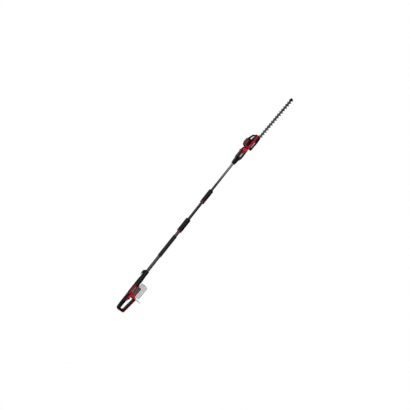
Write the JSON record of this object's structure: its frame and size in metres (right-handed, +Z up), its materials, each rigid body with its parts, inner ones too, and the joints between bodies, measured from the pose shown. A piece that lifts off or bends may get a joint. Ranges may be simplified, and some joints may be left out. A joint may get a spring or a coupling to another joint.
{
  "type": "pole hedge trimmer",
  "caption": "Battery pole hedge trimmer: D-grip rear handle, telescopic pole with twist clamps, tilting motor head and double-action toothed blades.",
  "frame": {"origin": "middle of the length and width, level with the foot of the wire stand under the handle", "axes": "+X along the pole from the butt of the handle to the tip of the blades, +Z up in the plane of the D grip, +Y to the operator's left"},
  "size_m": [2.4626, 0.08, 0.1737],
  "materials": {
    "black_plastic": "matte moulded, fine grain",
    "red_plastic": "satin moulded",
    "label_film": "satin plate",
    "grey_plastic": "matte moulded",
    "battery_plastic": "matte moulded",
    "foam": "closed-cell foam",
    "dark_aluminium": "dark anodised",
    "grey_aluminium": "satin",
    "blade_steel": "ground and blackened",
    "zinc_steel": "zinc plated",
    "contact_brass": "plain",
    "lead_rubber": "matte"
  },
  "bodies": {
    "handle": {"handle_shell_left": "black_plastic", "handle_shell_right": "black_plastic", "butt_bumper": "red_plastic", "handle_trim_left": "red_plastic", "handle_trim_right": "red_plastic", "label_plate_left": "label_film", "label_plate_right": "label_film", "handle_screw_1": "zinc_steel", "handle_screw_2": "zinc_steel", "handle_screw_3": "zinc_steel", "trigger_pin": "zinc_steel", "switch_block": "black_plastic", "battery_holder": "grey_plastic", "terminal_block": "contact_brass", "strap_lug": "black_plastic", "lower_tube": "dark_aluminium", "foam_grip": "foam", "clamp_1_collar": "red_plastic", "clamp_1_collet": "grey_plastic", "supply_lead": "lead_rubber"},
    "trigger": {"trigger": "black_plastic"},
    "lock_off": {"lock_off_button": "black_plastic"},
    "battery": {"battery_top_case": "battery_plastic", "battery_lower_case": "battery_plastic", "battery_cells": "zinc_steel"},
    "battery_latch": {"battery_latch": "grey_plastic"},
    "rest_bail": {"rest_bail": "zinc_steel"},
    "strap_ring": {"strap_ring": "zinc_steel"},
    "clamp_1": {"clamp_1_sleeve": "black_plastic"},
    "mid_pole": {"mid_tube": "dark_aluminium", "clamp_2_collar": "red_plastic", "clamp_2_collet": "grey_plastic"},
    "clamp_2": {"clamp_2_sleeve": "black_plastic"},
    "upper_pole": {"upper_tube": "grey_aluminium", "neck_collar": "black_plastic", "neck_shell_left": "black_plastic", "neck_shell_right": "black_plastic", "neck_screw_1": "zinc_steel", "neck_screw_2": "zinc_steel", "pivot_bolt": "zinc_steel", "pivot_cap_left": "red_plastic", "pivot_cap_right": "red_plastic"},
    "tilt_button": {"tilt_button": "red_plastic"},
    "head": {"gear_case": "red_plastic", "head_shell_left": "black_plastic", "head_shell_right": "black_plastic", "head_screw_1": "zinc_steel", "head_screw_2": "zinc_steel", "bottom_cover": "black_plastic", "motor_can": "zinc_steel", "guide_bar": "blade_steel", "bar_bolt_1": "zinc_steel", "bar_bolt_2": "zinc_steel", "bar_bolt_3": "zinc_steel", "bar_bolt_4": "zinc_steel", "tip_guard": "black_plastic"},
    "rotor": {"rotor": "blade_steel"},
    "crank": {"crank_gear": "blade_steel"},
    "upper_blade": {"upper_blade": "blade_steel"},
    "lower_blade": {"lower_blade": "blade_steel"}
  },
  "joints": [
    {"name": "trigger_pull", "type": "hinge", "parent": "handle", "child": "trigger", "pos_m": [-1.079, 0, 0.1205], "axis": [0, 1, 0], "range_deg": [0, 8], "stiffness_Nm_per_rad": 2, "springref_deg": -5.73},
    {"name": "lock_off_slide", "type": "slide", "parent": "handle", "child": "lock_off", "axis": [1, 0, 0], "range_m": [0, 0.005], "stiffness_N_per_m": 500, "springref_m": -0.003},
    {"name": "battery_slide", "type": "slide", "parent": "handle", "child": "battery", "axis": [1, 0, 0], "range_m": [0, 0.095]},
    {"name": "latch_press", "type": "slide", "parent": "battery", "child": "battery_latch", "axis": [0, 0, -1], "range_m": [0, 0.004], "stiffness_N_per_m": 900, "springref_m": -0.003},
    {"name": "bail_fold", "type": "hinge", "parent": "handle", "child": "rest_bail", "pos_m": [-1.065, 0, 0.0605], "axis": [0, 1, 0], "range_deg": [0, 70]},
    {"name": "ring_swing", "type": "hinge", "parent": "handle", "child": "strap_ring", "pos_m": [-0.835, 0, 0.1615], "axis": [0, 1, 0], "range_deg": [-18, 100]},
    {"name": "clamp_1_twist", "type": "hinge", "parent": "handle", "child": "clamp_1", "pos_m": [-0.271, 0, 0.1305], "axis": [1, 0, 0], "range_deg": [0, 90]},
    {"name": "lower_telescope", "type": "slide", "parent": "handle", "child": "mid_pole", "axis": [1, 0, 0], "range_m": [-0.18, 0.15]},
    {"name": "clamp_2_twist", "type": "hinge", "parent": "mid_pole", "child": "clamp_2", "pos_m": [0.069, 0, 0.1305], "axis": [1, 0, 0], "range_deg": [0, 90]},
    {"name": "upper_telescope", "type": "slide", "parent": "mid_pole", "child": "upper_pole", "axis": [1, 0, 0], "range_m": [-0.3, 0.15]},
    {"name": "tilt_button_press", "type": "slide", "parent": "upper_pole", "child": "tilt_button", "axis": [0, 0, -1], "range_m": [0, 0.004], "stiffness_N_per_m": 900, "springref_m": -0.003},
    {"name": "head_tilt", "type": "hinge", "parent": "upper_pole", "child": "head", "pos_m": [0.603, 0, 0.1255], "axis": [0, 1, 0], "range_deg": [-45, 75]},
    {"name": "crank_spin", "type": "hinge", "parent": "head", "child": "crank", "pos_m": [0.69395, 0, 0.12232], "axis": [0.0349, 0, 0.9994], "continuous": true},
    {"name": "rotor_spin", "type": "hinge", "parent": "head", "child": "rotor", "pos_m": [0.66196, 0, 0.12344], "axis": [0.0349, 0, 0.9994], "continuous": true},
    {"name": "upper_blade_stroke", "type": "slide", "parent": "head", "child": "upper_blade", "axis": [0.9994, 0, -0.0349], "range_m": [-0.007, 0.007]},
    {"name": "lower_blade_stroke", "type": "slide", "parent": "head", "child": "lower_blade", "axis": [0.9994, 0, -0.0349], "range_m": [-0.007, 0.007]}
  ],
  "couplings": [
    {"joint": "rotor_spin", "follows": "crank_spin", "ratio": -3},
    {"joint": "lower_blade_stroke", "follows": "upper_blade_stroke", "ratio": -1}
  ]
}
